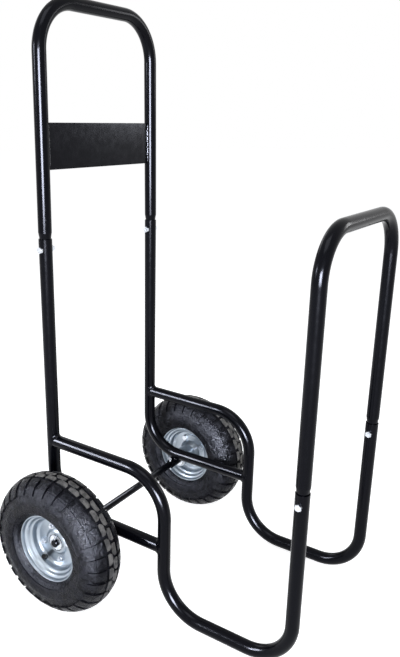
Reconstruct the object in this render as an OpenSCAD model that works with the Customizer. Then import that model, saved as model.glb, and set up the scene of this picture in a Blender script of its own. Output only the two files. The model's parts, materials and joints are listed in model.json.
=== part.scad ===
// Fireside log cart.
// Each side frame is a long S-shaped rail welded to a J-shaped upright. A push
// handle, a front hoop and one wheel axle tie the two side frames together.
// The parts are laid out with the base rails level, and grounded() then tips the
// finished cart forward until the tyres and the front bends of the base rails
// stand on one floor. Millimetres, +Z up, +Y to the rear, and the origin is on
// the floor below the middle of the cart.

/* [Frame tube] */
// Outside diameter of the frame tube
tube_d = 22.8; // [19:0.1:28]
// Wall of the frame tube
tube_wall = 1.4; // [1:0.1:2.2]
// Centreline radius of the bends in the side frames
frame_bend_r = 78; // [60:1:94]

/* [Side frames] */
// Distance between the centrelines of the two side frames
frame_w = 294; // [240:1:360]
// Distance from the uprights to the front legs
base_len = 495; // [410:1:600]
// Distance from the uprights to the drop of the side rail
drop_y = 251; // [205:1:300]
// Height of the side rail's top run
top_rail_z = 262.5; // [215:0.1:320]
// Height of the lower rail
low_rail_z = 132.3; // [110:0.1:160]

/* [Socket joints] */
// Height of the seam between the uprights and the handle
rear_seam_z = 634; // [520:1:770]
// Height of the seam between the front legs and the hoop
front_seam_z = 322; // [250:1:390]
// Length of the spigot below a seam
spigot_len = 38; // [30:1:60]
// Length of the swaged neck above a seam
neck_len = 11; // [6:1:20]
// Gap between a spigot and its socket, on the radius
spigot_gap = 0.45; // [0.1:0.05:0.6]
// Drop from a seam to its bolt
bolt_drop = 18; // [12:1:26]

/* [Handle] */
// Height of the handle's grip bar
handle_z = 1004.7; // [860:0.1:1200]
// Distance between the handle's legs at the top
handle_w = 286; // [230:1:350]
// Centreline radius of the handle's bends
handle_bend_r = 76; // [55:1:95]
// Height of the cross panel's lower edge
panel_z = 746; // [700:1:800]
// Height of the cross panel from edge to edge
panel_h = 75; // [40:1:100]
// Thickness of the cross panel
panel_t = 2; // [1:0.5:4]

/* [Front hoop] */
// Height of the hoop's top bar
hoop_z = 700; // [560:1:850]
// Centreline radius of the hoop's bends
hoop_bend_r = 70; // [50:1:90]

/* [Axle] */
// Diameter of the axle
axle_d = 14; // [10:0.5:18]
// Distance from the uprights forward to the axle
axle_y = 68.5; // [40:0.5:110]
// Outside diameter of the sleeves that carry the axle
sleeve_d = 18.9; // [17:0.1:26]
// Length of each sleeve
sleeve_len = 26; // [18:1:40]
// Reach of a sleeve outside the side frame's centreline
sleeve_reach = 11; // [11:0.5:16]
// Gap between axle and sleeve, on the radius
sleeve_gap = 0.15; // [0.05:0.05:0.5]

/* [Tyre] */
// Diameter of the tyre over its lugs
tyre_d = 256.4; // [214:0.2:308]
// Radius of the tyre's round section, as a share of its height over the rim
section_share = 0.658; // [0.62:0.002:0.7]
// Gap between the tyre and the side frame
tyre_gap = 13.3; // [6:0.1:40]
// Thickness of the tyre's sidewall
sidewall_t = 6; // [4:0.5:8]
// Height of the lugs at the crown
lug_h = 3.7; // [2:0.1:6]
// Lugs in each of the four rows
lug_count = 30; // [20:1:40]
// Share of the pitch that a crown lug fills
lug_fill = 0.78; // [0.5:0.02:0.9]
// Width of each crown row
crown_lug_w = 9.1; // [5:0.1:12]

/* [Rim] */
// Diameter of the rim over its flanges
flange_d = 125.2; // [110:0.2:140]
// Width of the rim over its flanges
rim_w = 58.6; // [50:0.2:70]
// Inside radius of the rim's barrel
barrel_r = 48; // [44:0.5:52]
// Thickness of the rim's steel
rim_t = 1.6; // [1:0.1:2.5]
// Height of the raised boss round the hub
boss_h = 3.6; // [2:0.1:3.8]

/* [Hub and bearings] */
// Reach of the hub outside the wheel's centre plane
hub_reach = 5.6; // [5.4:0.1:8]
// How deep the outer bearing sits in the hub's end
bearing_inset = 3.8; // [0:0.1:5]
// Wall of the hub round its bearings
hub_wall = 2.2; // [1.5:0.1:4]
// Radius of the flange that is bolted to the rim
hub_flange_r = 38; // [35:0.5:42]
// Thickness of that flange
hub_flange_t = 3; // [2:0.5:5]
// Outside diameter of the ball bearings
bearing_d = 32; // [30:0.5:36]
// Width of the ball bearings
bearing_w = 10; // [8:0.5:14]
// Diameter of the bearing balls
ball_d = 5; // [4:0.1:5.6]
// Balls in each bearing
ball_count = 9; // [6:1:10]
// Side play of each wheel on the axle
wheel_play = 0.4; // [0.2:0.1:1]

/* [Fasteners] */
// Diameter of the socket bolts and the rim bolts
bolt_d = 6; // [5:0.5:8]
// Width across flats of their heads and nuts
hex_w = 10; // [8:0.5:13]
// Bolts that hold the rim halves together
rim_bolts_n = 4; // [3:1:5]
// Radius of the circle of rim bolts
rim_bolt_r = 31.6; // [31:0.1:33]
// Diameter of the split pins
pin_d = 3.2; // [2:0.1:4]

/* [Wheel positions] */
// How far the right wheel is turned from the left wheel's mirror image
right_wheel_turn = 47; // [0:1:359]
// Angle of the first rim bolt
rim_bolt_angle = 16; // [0:1:90]
// Angle of the first lug of the outer crown row
tread_angle = 1.7; // [0:0.1:12]

/* [Valve] */
// Angle from a rim bolt round to the valve
valve_angle = 40; // [25:1:65]
// Length of the rubber stem that stands in the rim
valve_len = 11; // [8:0.5:16]
// Diameter of that stem
valve_d = 9; // [7:0.1:10]

/* [Hidden] */
$fn = 64;

LEFT = -1;
RIGHT = 1;

// Colours
coat = "#17181c";
zinc = "#b9c0c8";
steel = "#8d9299";
rubber = "#26272b";
tube_rubber = "#1b1b1e";

// Clearances
weld_gap = 0.05;      // between a coped end and the tube it is welded to
seat_gap = 0.02;      // between parts that are pressed or seated together
hole_gap = 0.25;      // round a bolt or a pin, on the radius
race_gap = 0.05;      // between a ball and its races
spill = 1;            // how far a cutting shape runs past what it cuts

// Frame tube
tube_r = tube_d/2;
tube_bore = tube_d - 2*tube_wall;
spigot_d = tube_bore - 2*spigot_gap;
spigot_bore = spigot_d - 2*tube_wall;
base_z = tube_r;
slim = 0.16;          // how much slimmer a tube is where a straight laps over it
lap = 0.5;            // how far the straight laps
cope_land = 4;        // where a coped end stops short of the other tube's axis
rear_bolt_z = rear_seam_z - bolt_drop;
front_bolt_z = front_seam_z - bolt_drop;

// Bolts and nuts
head_share = 0.67;    // height of a head, and of a nut, against the bolt's diameter
nut_share = 0.85;
head_h = bolt_d*head_share;
nut_h = bolt_d*nut_share;
nut_corner_r = hex_w/2/cos(30);
bolt_hole = bolt_d + 2*hole_gap;
bolt_tail = 3.2;      // how far a bolt stands out of its nut
nut_bore = bolt_d + 2*seat_gap;

// Size of the tyre's round section, from the rim's edge out to the tread
crown_drop = 2.4;     // how far the flatter crown lies inside the round section
tyre_r = tyre_d/2;
flange_r = flange_d/2;
section_r = section_share*(tyre_r - lug_h + crown_drop - flange_r);

// Axle stack, outward from the side frame's centreline
sleeve_r = sleeve_d/2;
sleeve_end = frame_w/2 + sleeve_reach;
washer_t = 1.8;
washer_pitch = washer_t + seat_gap;
washer_gap = 0.3;     // round the axle, on the radius
washer_step = 2;      // how far a washer lies inside the bearing's edge
inner_washer_n = 2;
outer_washer_n = 2;
hub_in = sleeve_end + inner_washer_n*washer_pitch + wheel_play;
wheel_x = frame_w/2 + tube_r + tyre_gap + section_r;
hub_inset = wheel_x - hub_in;
outer_washer_x = wheel_x + hub_reach - bearing_inset + wheel_play;
pin_side = 0.2;       // between a split pin and what it holds
pin_end = 3.6;        // from the outer pin to the end of the axle
outer_pin_x = outer_washer_x + outer_washer_n*washer_pitch + pin_side + pin_d/2;
inner_pin_x = sleeve_end - sleeve_len - pin_side - pin_d/2;
axle_end = outer_pin_x + pin_end;
chamfer = 1;          // at both ends of the axle
washer_d = bearing_d - 2*washer_step;
washer_bore = axle_d + 2*washer_gap;

// The sleeve sits under the lower rail, whose bend it may reach
bend_reach = max(0, frame_bend_r - axle_y);
axle_z = low_rail_z + frame_bend_r
    - sqrt((frame_bend_r + tube_r + sleeve_r + weld_gap)^2 - bend_reach^2);

// The floor touches the tyres and one bend of the base rails
bend_out_r = frame_bend_r + tube_r;
front_bend = [-(base_len - frame_bend_r), base_z + frame_bend_r];
rear_bend = [-(drop_y + frame_bend_r), base_z + frame_bend_r];
floor_bend = tyre_r > axle_z ? front_bend : rear_bend;
floor_dy = -axle_y - floor_bend[0];
floor_dz = axle_z - floor_bend[1];
lean = asin((tyre_r - bend_out_r)/norm([floor_dy, floor_dz])) - atan2(floor_dz, floor_dy);

// Where a point of the level layout comes to lie after the tip
function tipped_y(y, z) = y*cos(lean) - z*sin(lean);
function tipped_z(y, z) = y*sin(lean) + z*cos(lean);
shift_z = tyre_r - tipped_z(-axle_y, axle_z);
front_y = min(tipped_y(-base_len, hoop_z) - tube_r,
              tipped_y(front_bend[0], front_bend[1]) - bend_out_r);
rear_y = max(tipped_y(-axle_y, axle_z) + tyre_r, tipped_y(0, low_rail_z + frame_bend_r) + tube_r);
shift_y = -(front_y + rear_y)/2;

// Tyre section: the sidewall and the cavity share one centre, and the radii of the
// crown and the tread are multiples of the sidewall's
crown_share = 1.2;
tread_share = 1.16;
shoulder_share = 0.47;
section_z = tyre_r - lug_h + crown_drop - section_r;
cavity_r = section_r - sidewall_t;
crown_r = section_r*crown_share;
tread_r = section_r*tread_share;
side_lug_h = 2.4;     // height of the lugs on the sidewall
shoulder_r = section_r + side_lug_h;
lug_root = 0.6;       // how deep the lugs are rooted in the tread
shoulder_in = section_z + section_r*shoulder_share;
lug_pitch = 2*PI*tyre_r/lug_count;
lug_nip = 3.8;        // what the cut corners take
lug_taper = 0.76;     // a lug's length at its side end against the crown
crown_gap = 0.9;      // half the groove between the two crown rows
row_gap = 5;          // groove between a crown row and its shoulder row
crown_out = crown_gap + crown_lug_w;

// Rim
lip_d = 2.4;
press_ease = 1.6;     // length of the rounding at each pressed corner
press_steps = 3;      // straight steps in such a rounding
ease_limit = 0.45;    // the share of a side that one rounding may take
boss_r = rim_bolt_r - nut_corner_r - press_ease;
boss_land = 1.8;      // width of the boss's flat top
hub_r = bearing_d/2 + hub_wall;
hub_fit = 0.2;        // between the hub and the rim's hole, on the radius
hub_hole_r = hub_r + hub_fit;
step_share = 0.27;    // offsets of the rim's two ledges, against its width
seat_share = 0.385;
step_u = rim_w*step_share;
seat_u = rim_w*seat_share;
seat_r = flange_r - lip_d*1.6;
ledge_share = 0.36;   // each ledge's share of the way from the barrel to the seat
bead_fit = 0.1;       // between tyre and rim
bead_toe = 9.5;       // offset of the bead's toe
bead_t = 8;           // thickness of the bead
bead_rise = 3;        // how much further out the toe's top lies
bead_corner = 30;     // angle at which the bead meets the cavity

// Bearings
race_t = 2.6;         // thickness of each ring
inner_race_r = axle_d/2 + race_t;
outer_race_r = bearing_d/2 - race_t;
ball_ring_r = (inner_race_r + outer_race_r)/2;
shield_t = 0.6;
shield_gap = 0.2;
bearing_step = 4;     // how far the hub's inner shoulder stands in
web_room = 0.8;       // between the hub's web and the bolt heads

// Inner tube
tube_seat = 0.4;      // between the inner tube and the tyre
tube_lift = 0.6;      // how much further it stays from the rim
tube_skin = 2;

// Valve: it leaves the barrel near the wheel's centre plane and slants outward
valve_slant = 40;
valve_root_u = 5.2;
valve_cap_len = 6.5;
stem_taper = 0.8;     // diameters of the stem's tip and of the cap, against its root
cap_share = 0.85;

// ---------------------------------------------------------------- placing

module grounded() {
    translate([0, shift_y, shift_z]) rotate([lean, 0, 0]) children();
}

// Children drawn with x along the cart's Y and y along its Z, in one side frame
module in_side_plane(side) {
    translate([side*frame_w/2, 0, 0]) rotate([90, 0, 90]) children();
}

// Children drawn with x along the cart's X and y along its Z
module in_cross_plane(y) {
    translate([0, y, 0]) rotate([90, 0, 0]) children();
}

// Children drawn on the Z axis lie on the axle, with z running outward
module on_axle(side, x = 0) {
    translate([side*x, -axle_y, axle_z]) rotate([0, side*90, 0]) children();
}

module at_wheel(side) {
    on_axle(side, wheel_x) rotate([0, 0, side == RIGHT ? right_wheel_turn : 0]) children();
}

// Children drawn on the Z axis lie across a side frame's tube, z outward
module across_tube(side, y, z) {
    translate([side*frame_w/2, y, z]) rotate([0, side*90, 0]) children();
}

// ---------------------------------------------------------------- bent tube

function unit(v) = v/norm(v);
function heading(path, i) = unit(path[i + 1] - path[i]);
function cross_z(a, b) = a[0]*b[1] - a[1]*b[0];
function turn(path, i) =
    let (a = heading(path, i - 1), b = heading(path, i)) atan2(cross_z(a, b), a*b);
function is_corner(path, i) = i > 0 && i < len(path) - 1;
function trim(path, i, r) = is_corner(path, i) ? r*tan(abs(turn(path, i))/2) : 0;
function lap_at(path, i, loss) = is_corner(path, i) && loss > 0 ? lap : 0;
function bearing_of(v) = atan2(v[1], v[0]);
function lengthened(path, by) = [
    for (i = [0 : len(path) - 1])
        i == 0 ? path[0] - by*heading(path, 0)
        : i == len(path) - 1 ? path[i] + by*heading(path, i - 1)
        : path[i]
];

// A round bar along a flat path, with one bend radius at every corner. The
// straights can lap a little over bends that are drawn slimmer.
module round_run(path, r, d, loss) {
    for (i = [0 : len(path) - 2]) {
        along = heading(path, i);
        from = path[i] + along*(trim(path, i, r) - lap_at(path, i, loss));
        to = path[i + 1] - along*(trim(path, i + 1, r) - lap_at(path, i + 1, loss));
        translate(from) rotate([0, 0, bearing_of(along)]) rotate([0, 90, 0])
            cylinder(d = d, h = norm(to - from));
    }
    for (i = [1 : 1 : len(path) - 2]) {
        into = heading(path, i - 1);
        way = sign(turn(path, i));
        start = path[i] - into*trim(path, i, r);
        centre = start + way*r*[-into[1], into[0]];
        first = bearing_of(into) - way*90 + min(0, turn(path, i));
        translate(centre) rotate([0, 0, first])
            rotate_extrude(angle = abs(turn(path, i)))
                translate([r, 0]) circle(d = d - loss);
    }
}

module bent_tube(path, r, loss = 0) {
    difference() {
        round_run(path, r, tube_d, loss);
        round_run(lengthened(path, spill), r, tube_bore, loss);
    }
}

module ring(d, bore, h) {
    difference() {
        cylinder(d = d, h = h);
        translate([0, 0, -spill]) cylinder(d = bore, h = h + 2*spill);
    }
}

// A swaged end with its seam on z = 0: the spigot below it and the neck above
module swaged_end() {
    difference() {
        union() {
            translate([0, 0, -spigot_len]) cylinder(d = spigot_d, h = spigot_len);
            cylinder(d1 = spigot_d, d2 = tube_d - slim, h = neck_len);
        }
        translate([0, 0, -spigot_len - spill]) cylinder(d = spigot_bore, h = spigot_len + spill);
        cylinder(d1 = spigot_bore, d2 = tube_bore - slim, h = neck_len);
    }
}

// ---------------------------------------------------------------- frame

side_rail_path = [
    [-cope_land, top_rail_z],
    [-drop_y, top_rail_z],
    [-drop_y, base_z],
    [-base_len, base_z],
    [-base_len, front_seam_z]
];
upright_path = [[0, rear_seam_z], [0, low_rail_z], [cope_land - drop_y, low_rail_z]];

module socket_hole(side, y, z) {
    across_tube(side, y, z) cylinder(d = bolt_hole, h = tube_d + 2*spill, center = true);
}

// Room for a vertical tube that another tube is welded to
module cope(side, y, z) {
    translate([side*frame_w/2, y, z - tube_d])
        cylinder(r = tube_r + weld_gap, h = 2*tube_d);
}

module side_rail(side) {
    color(coat) difference() {
        in_side_plane(side) bent_tube(side_rail_path, frame_bend_r);
        cope(side, 0, top_rail_z);
        socket_hole(side, -base_len, front_bolt_z);
    }
}

module upright(side) {
    color(coat) difference() {
        in_side_plane(side) bent_tube(upright_path, frame_bend_r);
        cope(side, -drop_y, low_rail_z);
        socket_hole(side, 0, rear_bolt_z);
    }
}

module axle_sleeve(side) {
    color(coat) on_axle(side, sleeve_end - sleeve_len)
        ring(sleeve_d, axle_d + 2*sleeve_gap, sleeve_len);
}

// An arch whose legs lean from the frame's width to top_w, above swaged ends that
// stand upright in their sockets. The bends of leaning legs aren't right angles,
// and are drawn slimmer.
function arch_path(top_w, top_z, seam_z) =
    let (neck_top = [frame_w/2, seam_z + neck_len],
         way = unit([top_w/2, top_z] - neck_top),
         start = neck_top - (lap + tube_r*abs(way[0]))*way)
    [[-start[0], start[1]], [-top_w/2, top_z], [top_w/2, top_z], start];

module arch(top_w, top_z, seam_z, r, y) {
    color(coat) difference() {
        union() {
            in_cross_plane(y)
                bent_tube(arch_path(top_w, top_z, seam_z), r, top_w == frame_w ? 0 : slim);
            for (side = [LEFT, RIGHT])
                translate([side*frame_w/2, y, seam_z]) swaged_end();
        }
        for (side = [LEFT, RIGHT]) socket_hole(side, y, seam_z - bolt_drop);
    }
}

module handle_tube() { arch(handle_w, handle_z, rear_seam_z, handle_bend_r, 0); }

module front_hoop() { arch(frame_w, hoop_z, front_seam_z, hoop_bend_r, -base_len); }

module handle_panel() {
    path = arch_path(handle_w, handle_z, rear_seam_z);
    color(coat) in_cross_plane(0) difference() {
        translate([0, 0, -panel_t/2]) linear_extrude(panel_t) intersection() {
            polygon(path);
            translate([-frame_w, panel_z]) square([2*frame_w, panel_h]);
        }
        round_run(path, handle_bend_r, tube_d + 2*weld_gap, 0);
    }
}

// ---------------------------------------------------------------- fasteners

// The head stands on z = 0 and the shank runs down
module hex_bolt(shank) {
    intersection() {
        cylinder(r = nut_corner_r, h = head_h, $fn = 6);
        cylinder(r1 = hex_w/2 + head_h, r2 = hex_w/2, h = head_h);
    }
    translate([0, 0, -shank]) cylinder(d = bolt_d, h = shank + head_h/2);
}

module hex_nut() {
    difference() {
        intersection() {
            cylinder(r = nut_corner_r, h = nut_h, $fn = 6);
            cylinder(r1 = hex_w/2 + nut_h, r2 = hex_w/2, h = nut_h);
        }
        translate([0, 0, -spill]) cylinder(d = nut_bore, h = nut_h + 2*spill);
    }
}

module socket_bolts(y, z) {
    color(zinc) for (side = [LEFT, RIGHT])
        across_tube(side, y, z) translate([0, 0, tube_r])
            hex_bolt(tube_d + nut_h + bolt_tail);
}

module socket_nuts(y, z) {
    color(zinc) for (side = [LEFT, RIGHT])
        across_tube(side, y, z) translate([0, 0, -tube_r - nut_h]) hex_nut();
}

module handle_bolts() { socket_bolts(0, rear_bolt_z); }

module handle_nuts() { socket_nuts(0, rear_bolt_z); }

module hoop_bolts() { socket_bolts(-base_len, front_bolt_z); }

module hoop_nuts() { socket_nuts(-base_len, front_bolt_z); }

module washer() { ring(washer_d, washer_bore, washer_t); }

// A split pin that stands upright through a bar of the given diameter
module split_pin(bar_d) {
    wire = pin_d/2;
    eye_r = wire*1.5;
    leg = wire*1.8;
    tip = wire*2.6;
    spread = 35;
    translate([0, 0, -bar_d/2 - leg]) cylinder(d = pin_d, h = bar_d + 2*leg);
    translate([0, 0, bar_d/2 + leg + eye_r]) rotate([0, 90, 0])
        rotate_extrude() translate([eye_r, 0]) circle(d = wire);
    for (way = [-1, 1])
        translate([0, way*wire/2, -bar_d/2 - leg + wire/2]) rotate([180 + way*spread, 0, 0])
            cylinder(d = wire, h = tip);
}

module split_pins(x) {
    color(zinc) for (side = [LEFT, RIGHT])
        translate([side*x, -axle_y, axle_z]) split_pin(axle_d);
}

module inner_split_pins() { split_pins(inner_pin_x); }

module outer_split_pins() { split_pins(outer_pin_x); }

// ---------------------------------------------------------------- axle

module axle() {
    color(coat) difference() {
        on_axle(RIGHT) union() {
            cylinder(d = axle_d, h = 2*(axle_end - chamfer), center = true);
            for (way = [0, 1]) mirror([0, 0, way]) translate([0, 0, axle_end - chamfer])
                cylinder(d1 = axle_d, d2 = axle_d - 2*chamfer, h = chamfer);
        }
        for (side = [LEFT, RIGHT], x = [inner_pin_x, outer_pin_x])
            translate([side*x, -axle_y, axle_z])
                cylinder(d = pin_d + 2*hole_gap, h = 2*axle_d, center = true);
    }
}

module inner_washers() {
    color(zinc) for (side = [LEFT, RIGHT], i = [0 : inner_washer_n - 1])
        on_axle(side, sleeve_end + i*washer_pitch) washer();
}

module outer_washers() {
    color(zinc) for (side = [LEFT, RIGHT], i = [0 : outer_washer_n - 1])
        on_axle(side, outer_washer_x + i*washer_pitch) washer();
}

// ---------------------------------------------------------------- bearings

// The two bearings of a wheel, drawn on the hub's axis. reach is how far a
// ring stands out of the hub to meet its washer.
module at_bearings() {
    translate([0, 0, -hub_inset]) children();
    translate([0, 0, hub_reach - bearing_inset]) mirror([0, 0, 1]) children();
}

module ball_groove() {
    translate([0, 0, bearing_w/2]) rotate_extrude()
        translate([ball_ring_r, 0]) circle(r = ball_d/2 + race_gap);
}

module bearing_inner_rings(side) {
    color(steel) at_wheel(side) at_bearings() difference() {
        translate([0, 0, -wheel_play])
            ring(2*inner_race_r, axle_d + 2*seat_gap, bearing_w + wheel_play);
        ball_groove();
    }
}

module bearing_outer_rings(side) {
    color(steel) at_wheel(side) at_bearings() difference() {
        ring(bearing_d - 2*seat_gap, 2*outer_race_r, bearing_w);
        ball_groove();
    }
}

module bearing_balls(side) {
    color(steel) at_wheel(side) at_bearings()
        for (i = [0 : ball_count - 1])
            rotate([0, 0, i*360/ball_count])
                translate([ball_ring_r, 0, bearing_w/2]) sphere(d = ball_d);
}

module bearing_shields(side) {
    color(tube_rubber) at_wheel(side) at_bearings()
        for (z = [shield_gap, bearing_w - shield_gap - shield_t])
            translate([0, 0, z])
                ring(2*(outer_race_r - seat_gap), 2*(inner_race_r + shield_gap), shield_t);
}

// ---------------------------------------------------------------- rim and hub

// A path with each corner rounded off, from reach before it to reach after it
function drawn_back(p, q, reach) = p + (q - p)*min(reach/norm(q - p), ease_limit);
function eased(path, reach, steps) = [
    for (i = [0 : len(path) - 1])
        if (!is_corner(path, i)) path[i]
        else
            let (a = drawn_back(path[i], path[i - 1], reach),
                 b = drawn_back(path[i], path[i + 1], reach))
            for (k = [0 : steps])
                let (t = k/steps) (1 - t)^2*a + 2*t*(1 - t)*path[i] + t^2*b
];

function right_of(v) = [v[1], -v[0]];
function side_step(path, i) =
    let (a = right_of(heading(path, max(i - 1, 0))),
         b = right_of(heading(path, min(i, len(path) - 2))))
    (a + b)/(1 + a*b);
function shifted(path, by) = [
    for (i = [0 : len(path) - 1]) path[i] + by*side_step(path, i)
];
function reversed(list) = [for (i = [len(list) - 1 : -1 : 0]) list[i]];

// The rim's open face from the disc out to the lip, as [radius, offset]: the
// root of the barrel, its wall, two ledges and the flange
root_drop = 4;
ledge_rise = 1.4;
seat_w = 4.4;
wall_r = barrel_r + rim_t/2;
ledge_w = (seat_r - wall_r)*ledge_share;
lip_point = [flange_r - lip_d*0.75, rim_w/2 - lip_d*0.35];
barrel_corners = [
    [barrel_r - root_drop, rim_t],
    [barrel_r, rim_t + root_drop],
    [wall_r, step_u - ledge_rise],
    [wall_r + ledge_w, step_u],
    [seat_r - ledge_w, seat_u - ledge_rise],
    [seat_r, seat_u],
    [flange_r - lip_d*1.2, seat_u + seat_w],
    lip_point
];
outer_face = eased(concat([
    [hub_hole_r, rim_t + boss_h],
    [hub_hole_r + boss_land, rim_t + boss_h],
    [boss_r, rim_t]
], barrel_corners), press_ease, press_steps);
inner_face = eased(concat([[hub_hole_r, rim_t]], barrel_corners), press_ease, press_steps);

// A pressed half with its rolled lip
module rim_half(face) {
    rotate_extrude() polygon(concat(face, reversed(shifted(face, rim_t))));
    rotate_extrude() translate([flange_r - lip_d/2, rim_w/2 - lip_d/2]) circle(d = lip_d);
}

module rim_bolt_holes() {
    for (i = [0 : rim_bolts_n - 1]) rotate([0, 0, rim_bolt_angle + i*360/rim_bolts_n])
        translate([rim_bolt_r, 0, 0]) cylinder(d = bolt_hole, h = 4*rim_t + 2*hub_flange_t,
                                               center = true);
}

module rim_outer(side) {
    color(zinc) at_wheel(side) difference() {
        rim_half(outer_face);
        rim_bolt_holes();
        at_valve() cylinder(d = valve_d + 2*hole_gap, h = 4*valve_len, center = true);
    }
}

module rim_inner(side) {
    color(zinc) at_wheel(side) mirror([0, 0, 1]) difference() {
        rim_half(inner_face);
        mirror([0, 0, 1]) rim_bolt_holes();
    }
}

module hub(side) {
    flange_z = -rim_t;
    web = hub_flange_t*3;
    color(zinc) at_wheel(side) difference() {
        union() {
            translate([0, 0, -hub_inset]) cylinder(r = hub_r, h = hub_inset + hub_reach);
            translate([0, 0, flange_z - hub_flange_t])
                cylinder(r = hub_flange_r, h = hub_flange_t);
            translate([0, 0, flange_z - hub_flange_t - web])
                cylinder(r1 = hub_r, r2 = rim_bolt_r - nut_corner_r - web_room,
                         h = web);
        }
        translate([0, 0, -hub_inset - spill])
            cylinder(r = bearing_d/2 - bearing_step, h = hub_inset + hub_reach + 2*spill);
        at_bearings() translate([0, 0, -bearing_inset - spill])
            cylinder(d = bearing_d, h = bearing_w + bearing_inset + spill);
        rim_bolt_holes();
    }
}

module at_rim_bolts(side) {
    at_wheel(side) for (i = [0 : rim_bolts_n - 1])
        rotate([0, 0, rim_bolt_angle + i*360/rim_bolts_n])
            translate([rim_bolt_r, 0, 0]) children();
}

module rim_bolts(side) {
    color(zinc) at_rim_bolts(side) translate([0, 0, -rim_t - hub_flange_t])
        mirror([0, 0, 1]) hex_bolt(hub_flange_t + 2*rim_t + nut_h + bolt_tail);
}

module rim_nuts(side) {
    color(zinc) at_rim_bolts(side) translate([0, 0, rim_t]) hex_nut();
}

// ---------------------------------------------------------------- tyre

// The space that the rim takes, out to one side, with a fit round it. Beyond the
// lip it opens in two slopes, which leave the tyre's wall its thickness.
module rim_space(gap) {
    far = 2*rim_w;
    lip_edge = [flange_r, rim_w/2];
    near_slope = [3.4, 4.5];
    far_slope = [9, 9];
    side_slope = 20;
    back = shifted(inner_face, rim_t + gap);
    for (way = [0, 1]) mirror([0, way]) {
        polygon(concat([[0, 0]], back, [
            lip_edge + [gap, gap],
            lip_edge + near_slope,
            lip_edge + far_slope,
            [flange_r + side_slope, far],
            [0, far]
        ]));
        translate([flange_r - lip_d/2, rim_w/2 - lip_d/2]) circle(d = lip_d + 2*gap);
    }
}

// The bead on each side, and the room that it takes from the cavity
module bead_zone(gap) {
    corner = [section_z - cavity_r*sin(bead_corner), cavity_r*cos(bead_corner) - gap];
    for (way = [0, 1]) mirror([0, way])
        polygon([
            [barrel_r, bead_toe - gap],
            [barrel_r + bead_t, bead_toe + bead_rise - gap],
            [flange_r, rim_w/2 - bead_t - gap],
            corner,
            [corner[0], rim_w],
            [barrel_r, rim_w]
        ]);
}

// Outline of the tyre without its lugs, drawn in by the given depth
module carcass(depth) {
    intersection() {
        translate([section_z, 0]) circle(r = section_r - depth);
        translate([tyre_r - lug_h - crown_r, 0]) circle(r = crown_r - depth);
    }
}

module tyre_section() {
    difference() {
        union() {
            difference() {
                carcass(0);
                translate([section_z, 0]) circle(r = cavity_r);
            }
            intersection() {
                bead_zone(0);
                translate([section_z, 0]) circle(r = section_r);
            }
        }
        rim_space(bead_fit);
        square([2*(barrel_r + rim_t), 2*bead_toe], center = true);
    }
}

// The bands that the lugs are cut from, with the grooves that run round the tyre
module tread_section() {
    difference() {
        intersection() {
            translate([tyre_r - tread_r, 0]) circle(r = tread_r);
            translate([section_z, 0]) circle(r = shoulder_r);
            translate([shoulder_in, -section_r]) square([tyre_r, 2*section_r]);
        }
        carcass(lug_root);
        for (way = [0, 1]) mirror([0, way])
            translate([0, crown_out]) square([tyre_r, row_gap]);
    }
}

// Plan of the crown and shoulder lugs of one pitch, as [round, across]
module lug_plan() {
    half = lug_pitch*lug_fill/2;
    side_half = half*lug_taper;
    polygon([
        [lug_nip - half, crown_gap],
        [half - lug_nip, crown_gap],
        [half, crown_gap + lug_nip],
        [side_half, section_r],
        [-side_half, section_r],
        [-half, crown_gap + lug_nip]
    ]);
}

module lugs() {
    intersection() {
        rotate_extrude() tread_section();
        for (i = [0 : lug_count - 1], way = [0, 1])
            rotate([0, 0, tread_angle + (i + way/2)*360/lug_count]) mirror([0, 0, way])
                translate([shoulder_in - spill, 0, 0]) rotate([90, 0, 90])
                    linear_extrude(tyre_r - shoulder_in + 2*spill) lug_plan();
    }
}

module tyre(side) {
    color(rubber) at_wheel(side) union() {
        rotate_extrude() tyre_section();
        lugs();
    }
}

module tube_section(gap) {
    difference() {
        translate([section_z, 0]) circle(r = cavity_r - gap);
        bead_zone(gap);
        translate([0, -rim_w]) square([barrel_r + rim_t + tube_lift + gap, 2*rim_w]);
    }
}

module inner_tube(side) {
    color(tube_rubber) at_wheel(side) rotate_extrude() difference() {
        tube_section(tube_seat);
        tube_section(tube_seat + tube_skin);
    }
}

// ---------------------------------------------------------------- valve

// Children stand on the barrel's inside, with z along the stem
module at_valve() {
    rotate([0, 0, rim_bolt_angle + 90 + valve_angle])
        translate([barrel_r + rim_t, 0, valve_root_u]) rotate([0, valve_slant - 90, 0])
            children();
}

module valve_stem(side) {
    color(rubber) at_wheel(side) at_valve()
        cylinder(d1 = valve_d, d2 = valve_d*stem_taper, h = valve_len);
}

module valve_cap(side) {
    color(tube_rubber) at_wheel(side) at_valve() translate([0, 0, valve_len])
        cylinder(d = valve_d*cap_share, h = valve_cap_len);
}

// ---------------------------------------------------------------- the cart

grounded() side_rail(LEFT);  // left_side_rail
grounded() side_rail(RIGHT);  // right_side_rail
grounded() upright(LEFT);  // left_upright
grounded() upright(RIGHT);  // right_upright
grounded() axle_sleeve(LEFT);  // left_axle_sleeve
grounded() axle_sleeve(RIGHT);  // right_axle_sleeve
grounded() handle_tube();
grounded() handle_panel();
grounded() front_hoop();
grounded() handle_bolts();
grounded() handle_nuts();
grounded() hoop_bolts();
grounded() hoop_nuts();
grounded() axle();
grounded() inner_washers();
grounded() outer_washers();
grounded() inner_split_pins();
grounded() outer_split_pins();
grounded() bearing_inner_rings(LEFT);  // left_bearing_inner_rings
grounded() bearing_inner_rings(RIGHT);  // right_bearing_inner_rings
grounded() tyre(LEFT);  // left_tyre
grounded() inner_tube(LEFT);  // left_inner_tube
grounded() rim_outer(LEFT);  // left_rim_outer
grounded() rim_inner(LEFT);  // left_rim_inner
grounded() hub(LEFT);  // left_hub
grounded() bearing_outer_rings(LEFT);  // left_bearing_outer_rings
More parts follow.
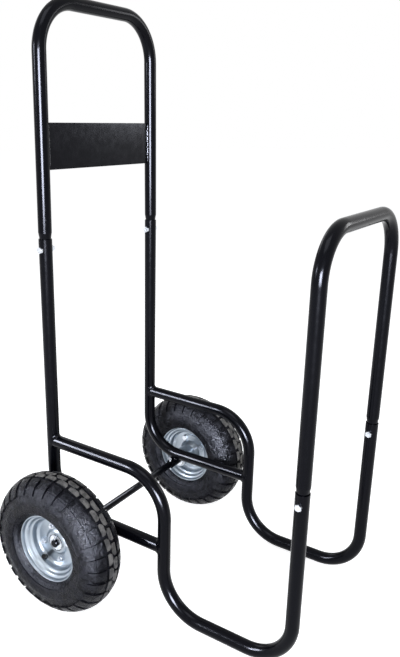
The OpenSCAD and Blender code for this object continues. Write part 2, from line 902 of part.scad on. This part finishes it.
grounded() bearing_balls(LEFT);  // left_bearing_balls
grounded() bearing_shields(LEFT);  // left_bearing_shields
grounded() rim_bolts(LEFT);  // left_rim_bolts
grounded() rim_nuts(LEFT);  // left_rim_nuts
grounded() valve_stem(LEFT);  // left_valve_stem
grounded() valve_cap(LEFT);  // left_valve_cap
grounded() tyre(RIGHT);  // right_tyre
grounded() inner_tube(RIGHT);  // right_inner_tube
grounded() rim_outer(RIGHT);  // right_rim_outer
grounded() rim_inner(RIGHT);  // right_rim_inner
grounded() hub(RIGHT);  // right_hub
grounded() bearing_outer_rings(RIGHT);  // right_bearing_outer_rings
grounded() bearing_balls(RIGHT);  // right_bearing_balls
grounded() bearing_shields(RIGHT);  // right_bearing_shields
grounded() rim_bolts(RIGHT);  // right_rim_bolts
grounded() rim_nuts(RIGHT);  // right_rim_nuts
grounded() valve_stem(RIGHT);  // right_valve_stem
grounded() valve_cap(RIGHT);  // right_valve_cap
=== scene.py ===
"""Fireside log cart: looks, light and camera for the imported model.

Metres, with +Z up and +Y to the rear.
"""
import json
import math
import random

import bmesh
import bpy
from mathutils import Matrix, Vector, noise

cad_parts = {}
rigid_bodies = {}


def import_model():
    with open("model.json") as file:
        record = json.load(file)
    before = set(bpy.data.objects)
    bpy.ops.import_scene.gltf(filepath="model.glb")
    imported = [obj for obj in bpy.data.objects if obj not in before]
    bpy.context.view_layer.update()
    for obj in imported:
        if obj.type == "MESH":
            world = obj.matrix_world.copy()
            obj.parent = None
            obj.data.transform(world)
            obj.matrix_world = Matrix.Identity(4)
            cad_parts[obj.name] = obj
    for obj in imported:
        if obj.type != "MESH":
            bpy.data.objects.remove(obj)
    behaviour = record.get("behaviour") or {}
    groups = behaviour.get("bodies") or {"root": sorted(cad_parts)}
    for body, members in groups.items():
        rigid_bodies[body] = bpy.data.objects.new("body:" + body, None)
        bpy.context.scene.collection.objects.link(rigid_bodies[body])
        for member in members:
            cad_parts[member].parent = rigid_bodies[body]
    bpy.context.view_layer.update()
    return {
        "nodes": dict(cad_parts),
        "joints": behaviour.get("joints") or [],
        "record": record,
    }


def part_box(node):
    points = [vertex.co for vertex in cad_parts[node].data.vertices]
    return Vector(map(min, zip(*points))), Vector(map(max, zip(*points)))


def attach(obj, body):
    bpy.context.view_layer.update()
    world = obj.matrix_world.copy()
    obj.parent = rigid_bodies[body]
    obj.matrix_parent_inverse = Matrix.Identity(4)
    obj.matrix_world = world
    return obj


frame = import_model()
nodes = frame["nodes"]

# ------------------------------------------------------------------ sizes

MM = 0.001
SIDES = {"left": -1, "right": 1}


def middle(node):
    """The middle of a CAD node's box."""
    low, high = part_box(node)
    return (low + high) / 2


side_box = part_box("right_side_rail")
TUBE_R = (side_box[1].x - side_box[0].x) / 2
SIDE_X = middle("right_side_rail").x

# The cart is laid out level and stands tipped forward. Two rows of bolts, whose
# level places are known, give the tip. The welds are also placed level, from the rails,
# the drop between them, the seam below the handle, the grip and the panel.
REAR_BOLTS_LEVEL = Vector((0, 0, 616 * MM))
FRONT_BOLTS_LEVEL = Vector((0, -495 * MM, 304 * MM))
TOP_RAIL_Z = 262.5 * MM
LOW_RAIL_Z = 132.3 * MM
DROP_Y = -251 * MM
REAR_SEAM_Z = 634 * MM
GRIP_Z = 1004.7 * MM
GRIP_LEG_X = 143 * MM
PANEL_LOW_Z = 746 * MM
PANEL_HIGH_Z = 821 * MM
PANEL_T = 2 * MM


def slope(v):
    """The angle of a line seen from the side."""
    return math.atan2(v.z, v.y)


level_line = REAR_BOLTS_LEVEL - FRONT_BOLTS_LEVEL
placed_line = middle("handle_bolts") - middle("hoop_bolts")
LEAN = slope(placed_line) - slope(level_line)
TO_GROUND = (
    Matrix.Translation(Vector((0, *middle("handle_bolts").yz)))
    @ Matrix.Rotation(LEAN, 4, "X")
    @ Matrix.Translation(-REAR_BOLTS_LEVEL)
)
AXLE = middle("axle")
TYRE_R = AXLE.z
WHEEL_X = abs(frame["joints"][0]["pos_m"][0])

# The tyre: the radius of its section's middle, the shoulder groove as an angle seen from
# there, the sidewall's ridge, and half the width of the two crown rows.
TYRE_SECTION_R = 84.6 * MM
SHOULDER_GROOVE = math.radians(42.5)
SIDEWALL_RIDGE_R = 88 * MM
CROWN_HALF_WIDTH = 9.5 * MM


# ------------------------------------------------------------------ node helpers


class Nodes:
    """Short names for building a node material."""

    def __init__(self, name):
        self.mat = bpy.data.materials.new(name)
        self.mat.use_nodes = True
        self.tree = self.mat.node_tree
        self.bsdf = self.tree.nodes["Principled BSDF"]
        self.coords = self.add("ShaderNodeTexCoord").outputs["Object"]

    def add(self, kind, **settings):
        node = self.tree.nodes.new(kind)
        for key, value in settings.items():
            setattr(node, key, value)
        return node

    def link(self, source, target):
        if isinstance(source, (int, float, tuple)):
            target.default_value = source
        else:
            self.tree.links.new(source, target)

    def maths(self, kind, a, b=0.0, clamp=False):
        node = self.add("ShaderNodeMath", operation=kind, use_clamp=clamp)
        self.link(a, node.inputs[0])
        self.link(b, node.inputs[1])
        return node.outputs[0]

    def noise(self, scale, detail=3.0, roughness=0.5, stretch=None):
        node = self.add("ShaderNodeTexNoise")
        node.inputs["Scale"].default_value = scale
        node.inputs["Detail"].default_value = detail
        node.inputs["Roughness"].default_value = roughness
        source = self.coords
        if stretch:
            mapping = self.add("ShaderNodeMapping")
            mapping.inputs["Scale"].default_value = stretch
            self.link(source, mapping.inputs["Vector"])
            source = mapping.outputs["Vector"]
        self.link(source, node.inputs["Vector"])
        return node.outputs["Fac"]

    def ramp(self, source, low, high, to_low=0.0, to_high=1.0):
        node = self.add("ShaderNodeMapRange", clamp=True)
        node.interpolation_type = "SMOOTHSTEP"
        self.link(source, node.inputs["Value"])
        node.inputs["From Min"].default_value = low
        node.inputs["From Max"].default_value = high
        node.inputs["To Min"].default_value = to_low
        node.inputs["To Max"].default_value = to_high
        return node.outputs["Result"]

    def blend(self, factor, a, b):
        node = self.add("ShaderNodeMix", data_type="RGBA")
        self.link(factor, node.inputs["Factor"])
        self.link(rgba(a) if isinstance(a, tuple) else a, node.inputs["A"])
        self.link(rgba(b) if isinstance(b, tuple) else b, node.inputs["B"])
        return node.outputs["Result"]

    def axis(self, which):
        node = self.add("ShaderNodeSeparateXYZ")
        self.link(self.coords, node.inputs[0])
        return node.outputs[which]

    def bump(self, height, distance, strength=1.0):
        node = self.add("ShaderNodeBump")
        node.inputs["Distance"].default_value = distance
        node.inputs["Strength"].default_value = strength
        self.link(height, node.inputs["Height"])
        self.link(node.outputs["Normal"], self.bsdf.inputs["Normal"])

    def set(self, **values):
        for key, value in values.items():
            self.link(value, self.bsdf.inputs[key.replace("_", " ")])


def rgba(colour):
    return (*colour, 1.0)


# ------------------------------------------------------------------ materials

BLUISH_GLOSS = rgba((0.86, 0.88, 1.0))


def coat_material():
    """Gloss black powder coat, faintly uneven, with a little dust."""
    m = Nodes("black_coat")
    dust = m.ramp(m.noise(38, 6, 0.62), 0.52, 0.78, 0.0, 0.16)
    grain = m.noise(2600, 2, 0.6)
    specks = m.maths("MULTIPLY", dust, m.ramp(grain, 0.5, 0.72))
    m.set(Base_Color=m.blend(specks, (0.0018, 0.0019, 0.0032), (0.03, 0.029, 0.03)))
    m.set(Roughness=m.ramp(m.noise(90, 4), 0.3, 0.75, 0.15, 0.2))
    m.set(Specular_IOR_Level=0.085)
    m.set(Specular_Tint=BLUISH_GLOSS)
    m.bump(m.noise(120, 1, 0.3), 0.00001, 0.2)
    return m.mat


def zinc_material(name="zinc_plate", rough=0.3, tint=(0.375, 0.42, 0.47)):
    """Bright zinc plate: bluish steel with faint passivation clouds and fine scuffs."""
    m = Nodes(name)
    clouds = m.ramp(m.noise(55, 5, 0.6), 0.35, 0.7)
    scuffs = m.ramp(m.noise(700, 3, 0.7, (1, 0.25, 1)), 0.56, 0.72)
    dull = tuple(0.87 * v for v in tint)
    scuff_grey = (0.26, 0.26, 0.27)
    base = m.blend(clouds, tint, dull)
    m.set(Base_Color=m.blend(m.maths("MULTIPLY", scuffs, 0.2), base, scuff_grey))
    m.set(Metallic=1.0)
    m.set(Roughness=m.maths("ADD", m.ramp(clouds, 0, 1, rough, rough + 0.1),
                            m.maths("MULTIPLY", scuffs, 0.08)))
    m.bump(m.noise(900, 3, 0.6), 0.00005, 0.3)
    return m.mat


def weld_material():
    """A weld bead under powder coat: lumpier and glossier than the flat coat."""
    m = Nodes("coated_weld")
    m.set(Base_Color=m.blend(m.ramp(m.noise(300, 4), 0.4, 0.7),
                             (0.003, 0.003, 0.0045), (0.012, 0.012, 0.014)))
    m.set(Roughness=m.ramp(m.noise(420, 3), 0.3, 0.7, 0.12, 0.26))
    m.set(Specular_IOR_Level=0.5)
    m.set(Specular_Tint=BLUISH_GLOSS)
    m.bump(m.noise(600, 3, 0.5), 0.0002, 0.5)
    return m.mat


def steel_material():
    """Ground bearing steel."""
    m = Nodes("bearing_steel")
    m.set(Base_Color=m.blend(m.noise(160, 3), (0.5, 0.51, 0.53), (0.36, 0.36, 0.37)))
    m.set(Metallic=1.0)
    m.set(Roughness=m.ramp(m.noise(800, 2), 0.3, 0.7, 0.18, 0.34))
    return m.mat


def rubber_material(name, colour, rough):
    """Matt black rubber or plastic with a trace of dust."""
    m = Nodes(name)
    dust = m.ramp(m.noise(140, 4), 0.45, 0.7, 0, 0.3)
    m.set(Base_Color=m.blend(dust, colour, (0.03, 0.029, 0.028)))
    m.set(Roughness=m.ramp(m.noise(400, 2), 0.3, 0.7, rough, rough + 0.12))
    m.set(Specular_IOR_Level=0.2)
    m.bump(m.noise(1500, 3), 0.0001, 0.5)
    return m.mat


def tyre_material():
    """Black rubber: grey dust on the crown lugs, clean shoulders and an uneven sidewall."""
    m = Nodes("tyre_rubber")
    y = m.maths("SUBTRACT", m.axis("Y"), AXLE.y)
    z = m.maths("SUBTRACT", m.axis("Z"), AXLE.z)
    squares = m.maths("ADD", m.maths("MULTIPLY", y, y), m.maths("MULTIPLY", z, z))
    radius = m.maths("SQRT", squares)
    off_centre = m.maths("SUBTRACT", m.maths("ABSOLUTE", m.axis("X")), WHEEL_X)
    across = m.maths("ABSOLUTE", off_centre)

    # Dust: thick on top of the crown lugs, thin in smears on the sidewall
    blotches = m.ramp(m.noise(70, 5, 0.6), 0.34, 0.66)
    grit = m.ramp(m.noise(1100, 4, 0.7), 0.3, 0.7)
    lug_tops = m.ramp(radius, TYRE_R - 2.6 * MM, TYRE_R - 0.9 * MM)
    middle_rows = m.ramp(across, CROWN_HALF_WIDTH, CROWN_HALF_WIDTH + 2.5 * MM, 1, 0.12)
    crown = m.maths("MULTIPLY", lug_tops, middle_rows)
    crown = m.maths("MULTIPLY", crown, m.ramp(blotches, 0, 1, 0.45, 1))
    wall = m.maths("MULTIPLY", m.ramp(radius, 66 * MM, 84 * MM),
                   m.ramp(radius, 106 * MM, 120 * MM, 1, 0.1))
    smears = m.ramp(m.noise(34, 4, 0.55), 0.46, 0.66)
    wall = m.maths("MULTIPLY", wall, m.maths("MULTIPLY", smears, 0.04))
    dust = m.maths("ADD", crown, wall, clamp=True)
    dust = m.maths("MULTIPLY", dust, m.ramp(grit, 0, 1, 0.72, 1))
    black = m.blend(blotches, (0.0025, 0.0025, 0.004), (0.008, 0.008, 0.011))
    m.set(Base_Color=m.blend(dust, black, (0.21, 0.202, 0.19)))

    patchy_gloss = m.ramp(m.noise(75, 5, 0.65), 0.42, 0.6, 0.14, 0.42)
    m.set(Roughness=m.maths("ADD", m.ramp(dust, 0, 0.6, 0, 0.45), patchy_gloss, clamp=True))
    m.set(Specular_IOR_Level=0.06)
    m.set(Specular_Tint=rgba((0.84, 0.87, 1.0)))

    # The thin groove round each shoulder, the ridge on the sidewall and its unevenness
    angle = m.maths("ARCTAN2", across, m.maths("SUBTRACT", radius, TYRE_SECTION_R))
    from_groove = m.maths("ABSOLUTE", m.maths("SUBTRACT", angle, SHOULDER_GROOVE))
    groove = m.ramp(from_groove, math.radians(0.7), math.radians(1.6))
    from_ridge = m.maths("ABSOLUTE", m.maths("SUBTRACT", radius, SIDEWALL_RIDGE_R))
    ridge = m.ramp(from_ridge, 0.3 * MM, 1.1 * MM, 1, 0)
    swell = m.maths("MULTIPLY", m.noise(120, 5, 0.66), 2.4)
    height = m.maths("ADD", m.maths("ADD", groove, m.maths("MULTIPLY", ridge, 0.7)), swell)
    height = m.maths("ADD", height, m.maths("MULTIPLY", grit, 0.12))
    m.bump(height, 0.0011, 0.9)
    return m.mat


COAT = coat_material()
ZINC = zinc_material()
FASTENER = zinc_material("zinc_fastener", 0.26, (0.68, 0.71, 0.76))
WELD = weld_material()
STEEL = steel_material()
TYRE = tyre_material()
RUBBER = rubber_material("tube_rubber", (0.006, 0.006, 0.007), 0.45)
CAP = rubber_material("cap_plastic", (0.003, 0.003, 0.003), 0.28)

FASTENERS = ("bolts", "nuts", "washers", "pins")
SLOT_MATERIALS = {"black_coat": COAT, "zinc_plate": ZINC, "bearing_steel": STEEL,
                  "tyre_rubber": TYRE, "tube_rubber": RUBBER, "cap_plastic": CAP}


def dress_nodes():
    """Give each CAD node the material of its slot. The small fasteners are brighter zinc."""
    for part in frame["record"]["subparts"]:
        name = part["node"]
        obj = nodes[name]
        material = SLOT_MATERIALS[part["material_slot"]]
        if name.endswith(FASTENERS):
            material = FASTENER
        obj.data.materials.clear()
        obj.data.materials.append(material)


dress_nodes()

# ------------------------------------------------------------------ pieces


def add_piece(name, mesh, body, material):
    """A smooth-shaded piece of the visual model that rides on a body."""
    piece = bpy.data.objects.new(name, mesh)
    bpy.context.scene.collection.objects.link(piece)
    mesh.materials.append(material)
    for face in mesh.polygons:
        face.use_smooth = True
    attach(piece, body)


def skin(rings, closed):
    """Faces between rings of points. A closed skin joins its last ring to its first."""
    bm = bmesh.new()
    loops = [[bm.verts.new(p) for p in ring] for ring in rings]
    pairs = list(zip(loops, loops[1:])) + ([(loops[-1], loops[0])] if closed else [])
    for a, b in pairs:
        for k in range(len(a)):
            n = (k + 1) % len(a)
            bm.faces.new((a[k], a[n], b[n], b[k]))
    if not closed:
        bm.faces.new(list(reversed(loops[0])))
        bm.faces.new(loops[-1])
    bmesh.ops.recalc_face_normals(bm, faces=bm.faces)
    mesh = bpy.data.meshes.new("skin")
    bm.to_mesh(mesh)
    bm.free()
    return mesh


def swept(points, radius_at, around=14):
    """A round skin along points. radius_at gives the radius for a place from 0 to 1 along
    it and a turn round it."""
    last = len(points) - 1
    rings = []
    side = None
    for i, p in enumerate(points):
        ahead = (points[min(i + 1, last)] - points[max(i - 1, 0)]).normalized()
        if side is None:
            side = ahead.orthogonal().normalized()
        side = (side - ahead * side.dot(ahead)).normalized()
        other = ahead.cross(side)
        ring = []
        for k in range(around):
            turn = 2 * math.pi * k / around
            r = radius_at(i / last, turn)
            ring.append(p + r * (math.cos(turn) * side + math.sin(turn) * other))
        rings.append(ring)
    return skin(rings, False)


RIPPLE_PITCH = 1.7 * MM


def bead_radius(radius, length, seed, ripple, lumps):
    """A weld bead's radius: ripples of one pitch, uneven lumps, and rounded ends."""
    ripples = max(1, round(length / RIPPLE_PITCH))

    def radius_at(t, turn):
        wave = 0.5 + 0.5 * math.cos(2 * math.pi * t * ripples)
        place = Vector((math.cos(2 * math.pi * t) * 2, math.sin(2 * math.pi * t) * 2, seed))
        lump = noise.noise(place * 2.3) + 0.4 * noise.noise(place * 7 + Vector((0, 0, turn)))
        end = math.sqrt(max(0.06, 1 - abs(2 * t - 1) ** 8))
        return radius * (1 + ripple * (wave - 1) + lumps * lump) * end

    return radius_at


def add_bead(name, level_points, radius, seed, ripple=0.14, lumps=0.16):
    points = [TO_GROUND @ p for p in level_points]
    length = sum((b - a).length for a, b in zip(points, points[1:]))
    mesh = swept(points, bead_radius(radius, length, seed, ripple, lumps))
    add_piece(name, mesh, "frame", WELD)


def fillet_weld(name, x, y, z, way, seed):
    """A hollow fillet round the end of a rail that meets an upright tube of the same size.

    way is the side of the upright on which the rail lies. Near the upright's sides the seam
    stays a land's width out from its middle."""
    steps = 160
    land = 2.5 * MM
    sunk = 0.12 * MM
    root = 1.2 * MM
    rings = []
    for i in range(steps):
        turn = 2 * math.pi * i / steps
        out = Vector((math.sin(turn), 0, math.cos(turn)))
        away = max(land, TUBE_R * abs(out.z))
        lump = noise.noise(Vector((3 * out.x, 3 * out.z, seed)))
        leg = (4.6 + 1.2 * lump) * MM
        seam = TUBE_R * out + Vector((0, way * away, 0))
        on_rail = TUBE_R * out + Vector((0, way * (away + leg), 0))
        climb = seam + leg * Vector((0, -way * abs(out.x), out.z)).normalized()
        flat = Vector((climb.x, climb.y, 0)).normalized() * TUBE_R
        on_upright = Vector((flat.x, flat.y, climb.z))
        lift = (out + flat.normalized()).normalized()
        ripple = 0.07 * math.cos(2 * math.pi * i / 4)
        peak = seam + lift * (0.9 + ripple + 0.3 * lump) * MM
        start = on_rail - sunk * out
        end = on_upright - sunk * flat.normalized()
        ring = []
        for k in range(9):
            t = k / 8
            ring.append((1 - t) ** 2 * start + 2 * t * (1 - t) * peak + t * t * end)
        ring.append(seam - root * lift)
        rings.append([TO_GROUND @ (Vector((x, y, z)) + p) for p in ring])
    add_piece(name, skin(rings, True), "frame", COAT)


def leg_x(z):
    """How far out the handle's leg stands at a level height."""
    share = (z - REAR_SEAM_Z) / (GRIP_Z - REAR_SEAM_Z)
    return SIDE_X + (GRIP_LEG_X - SIDE_X) * share


def panel_bead(name, side, face, seed):
    """Along one end of the panel, on its front or its back, by a hand that drifts a little."""
    steps = 90
    off = PANEL_T / 2 + 1.2 * MM
    rng = random.Random(seed)
    margin = 2 * MM
    run = PANEL_HIGH_Z - PANEL_LOW_Z - 2 * margin
    points = []
    drift = 0.0
    for i in range(steps):
        z = PANEL_LOW_Z + margin + run * i / (steps - 1)
        drift += rng.uniform(-0.14, 0.14) * MM
        drift *= 0.94
        x = leg_x(z) - math.sqrt(TUBE_R ** 2 - off ** 2) - 0.8 * MM + drift
        points.append(Vector((side * x, face * off, z)))
    add_bead(name, points, 2.5 * MM, seed, ripple=0.2, lumps=0.34)


def sleeve_bead(name, side, way, seed):
    """In the groove between the lower rail and the axle sleeve, before or behind the sleeve."""
    steps = 40
    reach = 8.5 * MM
    level_axle = TO_GROUND.inverted() @ AXLE
    points = []
    for i in range(steps):
        across = reach * (2 * i / (steps - 1) - 1)
        z = LOW_RAIL_Z - math.sqrt(TUBE_R ** 2 - across ** 2) - 1.0 * MM
        points.append(Vector((side * SIDE_X + across, level_axle.y + way * 5.2 * MM, z)))
    add_bead(name, points, 2.8 * MM, seed)


def add_welds():
    for side_name, side in SIDES.items():
        x = side * SIDE_X
        fillet_weld(f"{side_name}_top_rail_weld", x, 0, TOP_RAIL_Z, -1, 3.1 + side)
        fillet_weld(f"{side_name}_low_rail_weld", x, DROP_Y, LOW_RAIL_Z, 1, 8.4 + side)
        for face_name, face in (("front", -1), ("back", 1)):
            seed = 11 + 3 * side + face
            panel_bead(f"{side_name}_panel_weld_{face_name}", side, face, seed)
        for way_name, way in (("front", -1), ("rear", 1)):
            seed = 21 + 3 * side + way
            sleeve_bead(f"{side_name}_sleeve_weld_{way_name}", side, way, seed)


def islands(mesh):
    """The boxes of a mesh's separate solids."""
    bm = bmesh.new()
    bm.from_mesh(mesh)
    bmesh.ops.remove_doubles(bm, verts=bm.verts, dist=1e-6)
    left = set(bm.verts)
    boxes = []
    while left:
        todo = [left.pop()]
        found = []
        while todo:
            vert = todo.pop()
            found.append(vert.co.copy())
            for edge in vert.link_edges:
                other = edge.other_vert(vert)
                if other in left:
                    left.remove(other)
                    todo.append(other)
        boxes.append(([min(c[i] for c in found) for i in range(3)],
                      [max(c[i] for c in found) for i in range(3)]))
    bm.free()
    return sorted(boxes)


THREAD_LENGTH = 3.1 * MM


def screw_thread(name, end, way, length, body):
    """A threaded skin over the last of an M6 bolt that runs along X and ends at end."""
    around = 20
    pitch = 1 * MM
    root = 3.03 * MM
    depth = 0.3 * MM
    rings = int(length / pitch * 8)
    bm = bmesh.new()
    grid = []
    for i in range(rings + 1):
        along = length * i / rings
        ring = []
        for k in range(around):
            phase = (along / pitch + k / around) % 1.0
            r = root + depth * (1 - abs(2 * phase - 1)) * min(1, (rings - i) / 6)
            turn = 2 * math.pi * k / around
            offset = Vector((way * (along - length), r * math.cos(turn), r * math.sin(turn)))
            ring.append(bm.verts.new(end + offset))
        grid.append(ring)
    for a, b in zip(grid, grid[1:]):
        for k in range(around):
            n = (k + 1) % around
            bm.faces.new((a[k], a[n], b[n], b[k]))
    bmesh.ops.recalc_face_normals(bm, faces=bm.faces)
    mesh = bpy.data.meshes.new(name)
    bm.to_mesh(mesh)
    bm.free()
    add_piece(name, mesh, body, FASTENER)


def thread_bolts(node, body, outward):
    """Threads on the tails of a node's bolts. outward says which way the tails point."""
    for i, (low, high) in enumerate(islands(nodes[node].data)):
        side = 1 if low[0] + high[0] > 0 else -1
        way = side if outward else -side
        x = high[0] if way > 0 else low[0]
        end = Vector((x, (low[1] + high[1]) / 2, (low[2] + high[2]) / 2))
        screw_thread(f"{node}_thread_{i + 1}", end, way, THREAD_LENGTH, body)


def add_threads():
    for node in ("handle_bolts", "hoop_bolts"):
        thread_bolts(node, "frame", False)
    for side in SIDES:
        thread_bolts(f"{side}_rim_bolts", f"{side}_wheel", True)


add_welds()
add_threads()

# ------------------------------------------------------------------ floor, light, camera

ROOM = 0.26  # the room's light on the cart, where the backdrop itself is 1
FLOOR = 0.8  # how pale the floor is
BACKDROP_RAYS = ("Is Camera Ray", "Is Glossy Ray", "Is Transmission Ray")


def ray_is(tree, *kinds):
    """1 for any of these kinds of ray."""
    path = tree.nodes.new("ShaderNodeLightPath")
    total = path.outputs[kinds[0]]
    for kind in kinds[1:]:
        node = tree.nodes.new("ShaderNodeMath")
        node.operation = "MAXIMUM"
        tree.links.new(total, node.inputs[0])
        tree.links.new(path.outputs[kind], node.inputs[1])
        total = node.outputs[0]
    return total


def make_world():
    world = bpy.data.worlds.new("studio")
    bpy.context.scene.world = world
    world.use_nodes = True
    tree = world.node_tree
    tree.nodes.clear()
    out = tree.nodes.new("ShaderNodeOutputWorld")
    mix = tree.nodes.new("ShaderNodeMixShader")
    room = tree.nodes.new("ShaderNodeBackground")
    room.inputs["Color"].default_value = rgba((0.93, 0.96, 1.0))
    room.inputs["Strength"].default_value = ROOM
    white = tree.nodes.new("ShaderNodeBackground")
    white.inputs["Color"].default_value = rgba((1, 1, 1))
    white.inputs["Strength"].default_value = 1.0
    tree.links.new(ray_is(tree, *BACKDROP_RAYS), mix.inputs[0])
    tree.links.new(room.outputs[0], mix.inputs[1])
    tree.links.new(white.outputs[0], mix.inputs[2])
    tree.links.new(mix.outputs[0], out.inputs["Surface"])


def make_floor():
    """A wide pale floor that reads as white to the camera and keeps the cart's shadow."""
    size = 30.0
    mesh = bpy.data.meshes.new("floor")
    mesh.from_pydata([(-size, -size, 0), (size, -size, 0), (size, size, 0), (-size, size, 0)],
                     [], [(0, 1, 2, 3)])
    floor = bpy.data.objects.new("floor", mesh)
    bpy.context.scene.collection.objects.link(floor)
    mat = bpy.data.materials.new("floor_white")
    mat.use_nodes = True
    tree = mat.node_tree
    tree.nodes.clear()
    out = tree.nodes.new("ShaderNodeOutputMaterial")
    pale = tree.nodes.new("ShaderNodeBsdfDiffuse")
    pale.inputs["Color"].default_value = rgba((FLOOR, FLOOR, FLOOR))
    glow = tree.nodes.new("ShaderNodeEmission")
    glow.inputs["Color"].default_value = rgba((1, 1, 1))
    glow.inputs["Strength"].default_value = 1 - 0.9 * FLOOR * ROOM
    both = tree.nodes.new("ShaderNodeAddShader")
    mix = tree.nodes.new("ShaderNodeMixShader")
    tree.links.new(pale.outputs[0], both.inputs[0])
    tree.links.new(glow.outputs[0], both.inputs[1])
    tree.links.new(ray_is(tree, *BACKDROP_RAYS), mix.inputs[0])
    tree.links.new(pale.outputs[0], mix.inputs[1])
    tree.links.new(both.outputs[0], mix.inputs[2])
    tree.links.new(mix.outputs[0], out.inputs["Surface"])
    mesh.materials.append(mat)


# Where the lamps on the camera's side stand, what lamps aim at, and their bluish white
FRONT = (-2.7, -1.75)
LEFT = (-2.1, 1.65, 1.35)
CART = (0, 0, 0.5)
LOW_LEFT = (-0.1, 0, 0.4)
PANEL = (0.1, 0.2, 0.8)
COOL = (0.9, 0.93, 1.0)


def area_light(name, place, aim, size, power, colour=(1, 1, 1), shows_in=None):
    """A softbox. shows_in, for one that only a gloss shows, holds what it lights."""
    data = bpy.data.lights.new(name, "AREA")
    data.shape = "RECTANGLE"
    data.size, data.size_y = size
    data.energy = power
    data.color = colour
    lamp = bpy.data.objects.new(name, data)
    lamp.location = place
    lamp.rotation_euler = (Vector(aim) - Vector(place)).to_track_quat("-Z", "Y").to_euler()
    if shows_in:
        lamp.visible_diffuse = False
        lamp.light_linking.receiver_collection = shows_in
    bpy.context.scene.collection.objects.link(lamp)


def lit_group(name, objects):
    """A collection of the pieces that a gloss-only softbox lights."""
    group = bpy.data.collections.new(name)
    for obj in objects:
        group.objects.link(obj)
    return group


def black_pieces():
    """All that is black but the panel, which would turn white from the far side."""
    for obj in bpy.data.objects:
        dressed = obj.type == "MESH" and obj.data.materials and obj != nodes["handle_panel"]
        if dressed and obj.data.materials[0] in (COAT, WELD, TYRE):
            yield obj


def low_black_pieces():
    """The same without the handle and the hoop."""
    for obj in black_pieces():
        if not obj.name.startswith(("handle", "front_hoop")):
            yield obj


def make_lights():
    """Soft lamps, and softboxes that only a gloss shows for the long highlights on black."""
    black = lit_group("black_pieces", black_pieces())
    low = lit_group("low_black_pieces", low_black_pieces())
    axle = lit_group("axle_only", [nodes["axle"]])
    panel = lit_group("panel_only", [nodes["handle_panel"]])
    tyres = lit_group("tyres_only", [nodes["left_tyre"], nodes["right_tyre"]])
    area_light("front", (*FRONT, 0.8), CART, (0.5, 0.7), 60, COOL)
    area_light("left", LEFT, LOW_LEFT, (0.5, 0.5), 33, COOL)
    area_light("right", (2.5, -1.6, 1.25), CART, (0.5, 0.9), 12)
    area_light("front_shine", (*FRONT, 0.72), CART, (1.5, 1.1), 800, COOL, black)
    area_light("left_shine", LEFT, LOW_LEFT, (1.1, 0.8), 460, COOL, low)
    area_light("panel_shine", (2.5, -1.7, 0.95), PANEL, (0.3, 0.3), 17, COOL, panel)
    area_light("right_shine", (1.5, 0.47, 2.03), AXLE, (1.3, 0.4), 60, COOL, axle)
    area_light("tyre_shine", (*FRONT, 0.72), AXLE, (0.5, 0.45), 1400, COOL, tyres)
    area_light("key", (-1.0, -0.6, 3.2), CART, (1.6, 1.6), 34, (0.97, 0.985, 1.0))
    area_light("back", (0.8, 2.6, 2.0), CART, (2.0, 1.2), 18, (0.96, 0.98, 1.0))


# The camera that was fitted to the photograph, in metres, degrees and pixels
CAMERA_PLACE = Vector((-0.97245, -0.63103, 0.81940))
CAMERA_AZIMUTH = -56.972
CAMERA_ELEVATION = 15.824
CAMERA_ROLL = -0.829
FOCAL_PIXELS = 688.22
FRAME_HEIGHT = 657
SENSOR = 36.0


def make_camera():
    a = math.radians(CAMERA_AZIMUTH)
    e = math.radians(CAMERA_ELEVATION)
    roll = math.radians(CAMERA_ROLL)
    back = Vector((math.sin(a) * math.cos(e), -math.cos(a) * math.cos(e), math.sin(e)))
    right = Vector((math.cos(a), math.sin(a), 0))
    up = back.cross(right)
    x_axis = math.cos(roll) * right + math.sin(roll) * up
    y_axis = back.cross(x_axis)
    data = bpy.data.cameras.new("camera")
    data.sensor_width = SENSOR
    data.lens = FOCAL_PIXELS * SENSOR / FRAME_HEIGHT
    camera = bpy.data.objects.new("camera", data)
    turn = Matrix((x_axis, y_axis, back)).transposed().to_4x4()
    camera.matrix_world = Matrix.Translation(CAMERA_PLACE) @ turn
    bpy.context.scene.collection.objects.link(camera)
    bpy.context.scene.camera = camera


make_world()
make_floor()
make_lights()
make_camera()
bpy.context.scene.view_settings.view_transform = "Standard"
